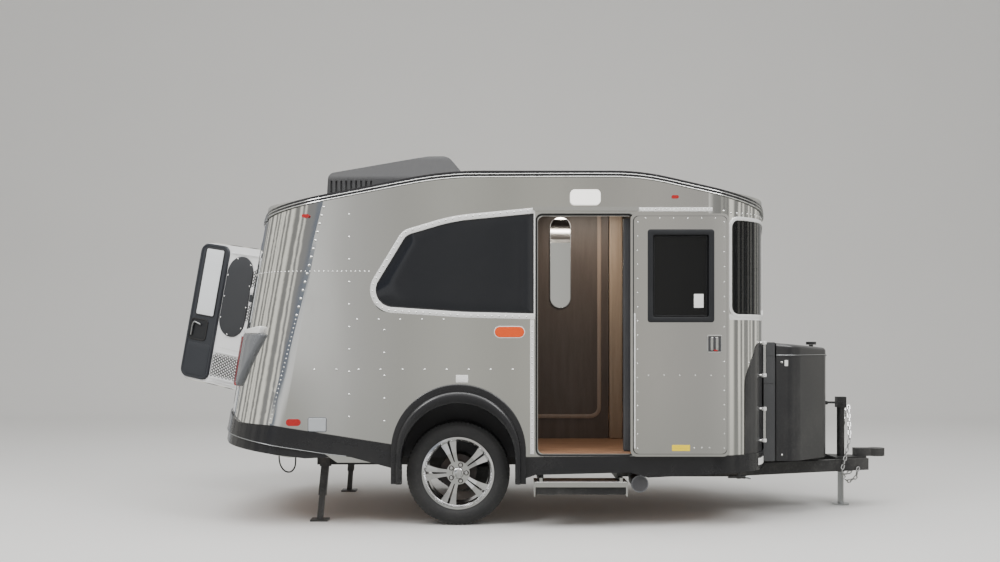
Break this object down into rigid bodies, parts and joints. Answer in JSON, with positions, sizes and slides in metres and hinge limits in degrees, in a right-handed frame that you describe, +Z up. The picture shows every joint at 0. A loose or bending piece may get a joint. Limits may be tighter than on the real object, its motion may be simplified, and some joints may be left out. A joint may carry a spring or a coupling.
{
  "type": "travel caravan",
  "caption": "Small riveted aluminium travel caravan with a rounded shell, black belt and wheel arches, open entry door and open rear hatch, standing on wheels, tongue jack and rear legs.",
  "frame": {"origin": "centre of the whole object's footprint, doors open, on the ground", "axes": "+X forward to the tow coupler, +Y to the street side away from the entry door, +Z up"},
  "size_m": [5.5759, 2.188, 2.59],
  "materials": {
    "aluminium_skin": "satin",
    "roof_skin": "satin",
    "bright_trim": "polished",
    "black_trim": "gloss",
    "belt_black": "gloss",
    "dark_glass": "tinted",
    "steel_black": "satin",
    "steel_grey": "zinc",
    "tyre_rubber": "matt",
    "rim_bright": "polished",
    "drum_iron": "raw",
    "lens_red": "gloss",
    "lamp_grey": "satin",
    "lamp_white": "frosted",
    "liner_white": "matt",
    "plastic_dark": "matt",
    "shroud_dark": "matt",
    "guard_black": "satin",
    "fairing_grey": "matt",
    "box_black": "satin",
    "floor_wood": "satin",
    "cabinet_wood": "satin",
    "cushion_cloth": "woven",
    "mirror": "polished",
    "chain_steel": "zinc",
    "bottle_paint": "gloss",
    "cord_black": "matt"
  },
  "bodies": {
    "caravan": {"side_wall_kerb": "aluminium_skin", "side_wall_street": "aluminium_skin", "roof_panel": "roof_skin", "rear_wall": "aluminium_skin", "front_wall": "aluminium_skin", "roof_trim": "black_trim", "belt_ends": "belt_black", "belt_sides": "belt_black", "wheel_flares": "belt_black", "wheel_wells": "plastic_dark", "floor_pan": "floor_wood", "window_glass": "dark_glass", "window_frames": "bright_trim", "door_frame": "bright_trim", "drip_rail": "bright_trim", "porch_light": "lamp_white", "chassis_rails": "steel_black", "cross_members": "steel_black", "tongue_rails": "steel_black", "coupler": "steel_black", "axle": "steel_black", "air_conditioner": "shroud_dark", "box_tray": "box_black", "gas_bottles": "bottle_paint", "hinge_pins": "steel_grey", "step_guides": "steel_black", "waste_pipe": "plastic_dark", "jack_tube": "steel_black", "leg_mounts": "steel_black", "bath_module": "cabinet_wood", "bath_mirror": "mirror", "galley": "cabinet_wood", "benches": "cabinet_wood", "cushions": "cushion_cloth", "tail_lamp_bodies": "lamp_grey", "lamp_lenses": "lens_red", "safety_chains": "chain_steel", "tether_cord": "cord_black", "tether_clips": "plastic_dark", "box_fairing": "fairing_grey", "front_guard": "guard_black", "guard_bars": "bright_trim"},
    "wheel_kerb": {"tyre_kerb": "tyre_rubber", "rim_kerb": "rim_bright", "hub_kerb": "drum_iron"},
    "wheel_street": {"tyre_street": "tyre_rubber", "rim_street": "rim_bright", "hub_street": "drum_iron"},
    "entry_door": {"door_leaf": "aluminium_skin", "door_glass": "dark_glass", "door_latch": "plastic_dark"},
    "rear_hatch": {"hatch_skin": "aluminium_skin", "hatch_liner": "liner_white", "hatch_glass": "dark_glass", "hatch_trim": "plastic_dark"},
    "tongue_box_lid": {"box_lid": "box_black"},
    "step": {"entry_step": "bright_trim"},
    "tongue_jack": {"jack_leg": "steel_grey"},
    "stabiliser_kerb": {"leg_kerb": "steel_black"},
    "stabiliser_street": {"leg_street": "steel_black"}
  },
  "joints": [
    {"name": "wheel_kerb_spin", "type": "hinge", "parent": "caravan", "child": "wheel_kerb", "pos_m": [-0.402, -0.852, 0.35], "axis": [0, 1, 0], "continuous": true},
    {"name": "wheel_street_spin", "type": "hinge", "parent": "caravan", "child": "wheel_street", "pos_m": [-0.402, 0.852, 0.35], "axis": [0, 1, 0], "continuous": true},
    {"name": "entry_door_swing", "type": "hinge", "parent": "caravan", "child": "entry_door", "pos_m": [0.757, -1.039, 1.25], "axis": [0, 0, -1], "range_deg": [0, 180]},
    {"name": "rear_hatch_swing", "type": "hinge", "parent": "caravan", "child": "rear_hatch", "pos_m": [-2.03692, 0.452, 0.79528], "axis": [0.1736, 0, 0.9848], "range_deg": [0, 122]},
    {"name": "box_lid_tilt", "type": "hinge", "parent": "caravan", "child": "tongue_box_lid", "pos_m": [2.29, 0, 1.131], "axis": [0, 1, 0], "range_deg": [0, 65]},
    {"name": "step_slide", "type": "slide", "parent": "caravan", "child": "step", "axis": [0, 1, 0], "range_m": [0, 0.23]},
    {"name": "tongue_jack_lift", "type": "slide", "parent": "caravan", "child": "tongue_jack", "axis": [0, 0, 1], "range_m": [0, 0.22]},
    {"name": "stabiliser_kerb_swing", "type": "hinge", "parent": "caravan", "child": "stabiliser_kerb", "pos_m": [-1.329, -0.7, 0.4], "axis": [0, 0.9945, -0.1045], "range_deg": [0, 85]},
    {"name": "stabiliser_street_swing", "type": "hinge", "parent": "caravan", "child": "stabiliser_street", "pos_m": [-1.329, 0.7, 0.4], "axis": [0, 0.9945, 0.1045], "range_deg": [0, 85]}
  ]
}
